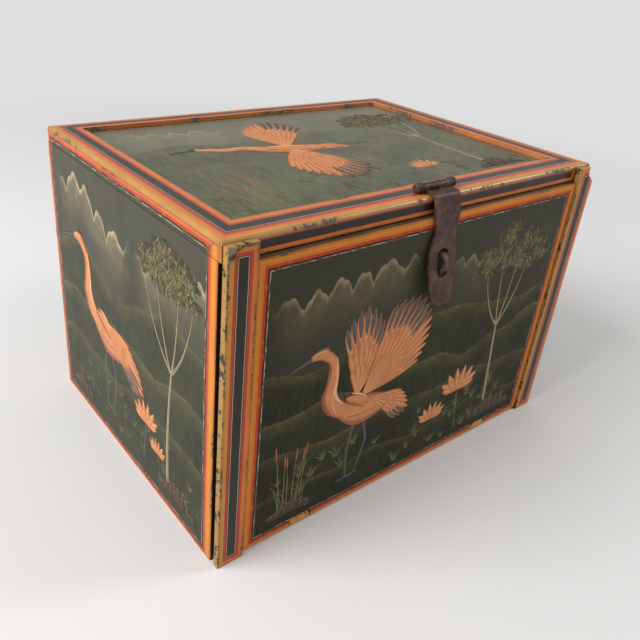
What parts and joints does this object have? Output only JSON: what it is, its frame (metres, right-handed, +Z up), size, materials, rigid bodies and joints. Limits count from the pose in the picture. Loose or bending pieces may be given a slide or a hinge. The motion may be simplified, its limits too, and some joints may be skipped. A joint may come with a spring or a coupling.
{
  "type": "apothecary box",
  "caption": "Painted wooden apothecary box with a back-hinged lid, a fall front between stiles, an iron hasp over a staple, bottle wells, drawers and open compartments",
  "frame": {"origin": "middle of the underside of the box, on the surface that it stands on", "axes": "+Z up, +X along the length towards the viewer's right, -Y towards the viewer of the painted fall front"},
  "size_m": [0.372, 0.2873, 0.2573],
  "materials": {
    "painted_wood": "painted in dark grey-green, ochre, red and salmon under old worn varnish",
    "bare_wood": "unpainted softwood darkened with age",
    "turned_wood": "turned hardwood rubbed dark by hands",
    "old_iron": "hand-forged iron with a thin brown rust patina",
    "painted_iron": "forged iron under worn yellow-ochre paint"
  },
  "bodies": {
    "case": {"base_board": "bare_wood", "left_side": "painted_wood", "right_side": "painted_wood", "back_board": "bare_wood", "left_post": "bare_wood", "right_post": "bare_wood", "left_stile": "painted_wood", "right_stile": "painted_wood", "carcase_nails": "old_iron", "stile_nails": "old_iron", "front_hinge_lug_left": "painted_iron", "front_hinge_lug_right": "painted_iron", "well_shelf": "bare_wood", "drawer_shelf": "bare_wood", "well_front": "bare_wood", "well_long_divider_1": "bare_wood", "well_long_divider_2": "bare_wood", "well_cross_divider_1": "bare_wood", "well_cross_divider_2": "bare_wood", "well_cross_divider_3": "bare_wood", "drawer_partition_1": "bare_wood", "drawer_partition_2": "bare_wood", "lower_partition_1": "bare_wood", "lower_partition_2": "bare_wood", "case_hinge_leaf_left": "old_iron", "case_hinge_leaf_right": "old_iron", "case_hinge_nails": "old_iron", "back_hinge_pins": "old_iron", "left_drawer_guide": "bare_wood", "right_drawer_guide": "bare_wood"},
    "lid": {"lid_panel": "painted_wood", "lid_frame_front": "painted_wood", "lid_frame_right": "painted_wood", "lid_frame_back": "painted_wood", "lid_frame_left": "painted_wood", "lid_apron_left": "painted_wood", "lid_apron_right": "painted_wood", "lid_apron_front": "painted_wood", "lid_apron_back": "painted_wood", "lid_hinge_leaf_left": "old_iron", "lid_hinge_leaf_right": "old_iron", "lid_hinge_nails": "old_iron", "hasp_eye_left": "old_iron", "hasp_eye_right": "old_iron", "hasp_pin": "old_iron"},
    "front": {"front_board": "painted_wood", "staple": "old_iron", "front_hinge_pin_left": "old_iron", "front_hinge_pin_right": "old_iron"},
    "hasp": {"hasp": "old_iron"},
    "drawer_1": {"drawer_1_tray": "bare_wood", "drawer_1_front": "painted_wood", "drawer_1_knob": "turned_wood"},
    "drawer_2": {"drawer_2_tray": "bare_wood", "drawer_2_front": "painted_wood", "drawer_2_knob": "turned_wood"},
    "drawer_3": {"drawer_3_tray": "bare_wood", "drawer_3_front": "painted_wood", "drawer_3_knob": "turned_wood"}
  },
  "joints": [
    {"name": "lid_hinge", "type": "hinge", "parent": "case", "child": "lid", "pos_m": [0, 0.1379, 0.237], "axis": [-1, 0, 0], "range_deg": [0, 100]},
    {"name": "front_hinge", "type": "hinge", "parent": "case", "child": "front", "pos_m": [0, -0.131, 0.0042], "axis": [1, 0, 0], "range_deg": [0, 86.5]},
    {"name": "hasp_hinge", "type": "hinge", "parent": "lid", "child": "hasp", "pos_m": [-0.0027, -0.1205, 0.2537], "axis": [-1, 0, 0], "range_deg": [0, 190]},
    {"name": "drawer_1_slide", "type": "slide", "parent": "case", "child": "drawer_1", "axis": [0, -1, 0], "range_m": [0, 0.11]},
    {"name": "drawer_2_slide", "type": "slide", "parent": "case", "child": "drawer_2", "axis": [0, -1, 0], "range_m": [0, 0.11]},
    {"name": "drawer_3_slide", "type": "slide", "parent": "case", "child": "drawer_3", "axis": [0, -1, 0], "range_m": [0, 0.11]}
  ],
  "couplings": [
    {"joint": "drawer_1_slide", "follows": "front_hinge", "m_per_rad": 0.07286},
    {"joint": "drawer_2_slide", "follows": "front_hinge", "m_per_rad": 0.07286},
    {"joint": "drawer_3_slide", "follows": "front_hinge", "m_per_rad": 0.07286}
  ]
}
